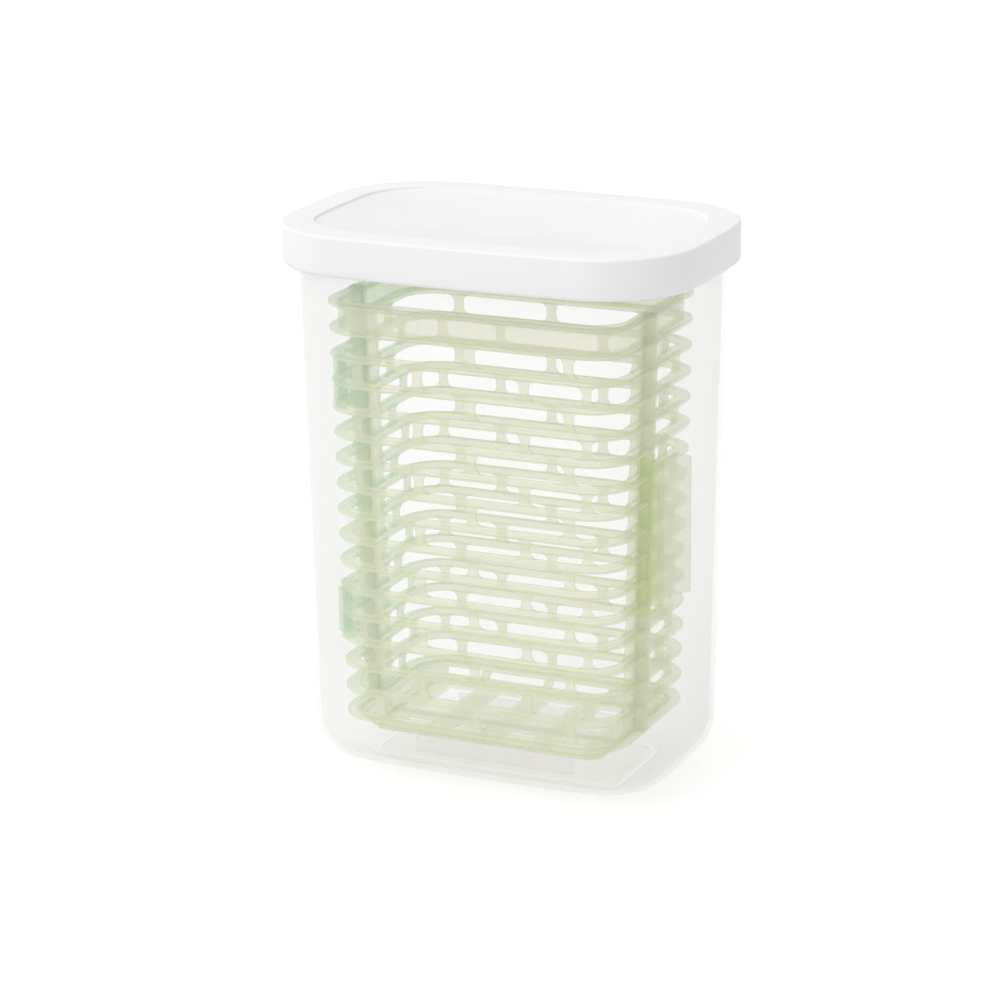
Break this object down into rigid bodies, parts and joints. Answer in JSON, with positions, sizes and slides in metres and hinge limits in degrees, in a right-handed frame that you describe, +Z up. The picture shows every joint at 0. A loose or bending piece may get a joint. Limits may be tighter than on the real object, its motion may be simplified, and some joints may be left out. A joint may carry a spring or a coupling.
{
  "type": "herb keeper",
  "caption": "Tall translucent herb keeper: milky container with a white cap lid and a lift-out green lattice basket that opens on side hinges and a spring latch.",
  "frame": {"origin": "middle of the container's foot, on the table", "axes": "+Z up, +X towards the latch side along the width, -Y towards the basket's door and the viewer"},
  "size_m": [0.142, 0.096, 0.182],
  "materials": {
    "milky_clear": "translucent",
    "lid_white": "satin",
    "basket_green": "translucent"
  },
  "bodies": {
    "container": {"container": "milky_clear"},
    "basket": {"basket_back": "basket_green", "upper_hinge_pin": "basket_green", "lower_hinge_pin": "basket_green"},
    "lid": {"lid": "lid_white"},
    "door": {"basket_door": "basket_green", "upper_hinge_clip": "basket_green", "lower_hinge_clip": "basket_green"},
    "latch": {"latch": "basket_green"}
  },
  "joints": [
    {"name": "basket_lift", "type": "slide", "parent": "container", "child": "basket", "axis": [0, 0, 1], "range_m": [0, 0.17]},
    {"name": "lid_lift", "type": "slide", "parent": "basket", "child": "lid", "axis": [0, 0, 1], "range_m": [0, 0.06]},
    {"name": "door_open", "type": "hinge", "parent": "basket", "child": "door", "pos_m": [-0.0576, -0.008, 0.0854], "axis": [0, 0, -1], "range_deg": [0, 1.2]},
    {"name": "latch_flex", "type": "hinge", "parent": "door", "child": "latch", "pos_m": [0.0537, -0.0092, 0.0847], "axis": [0, 0, -1], "range_deg": [0, 7.2]}
  ],
  "couplings": [
    {"joint": "latch_flex", "follows": "door_open", "ratio": 6}
  ]
}
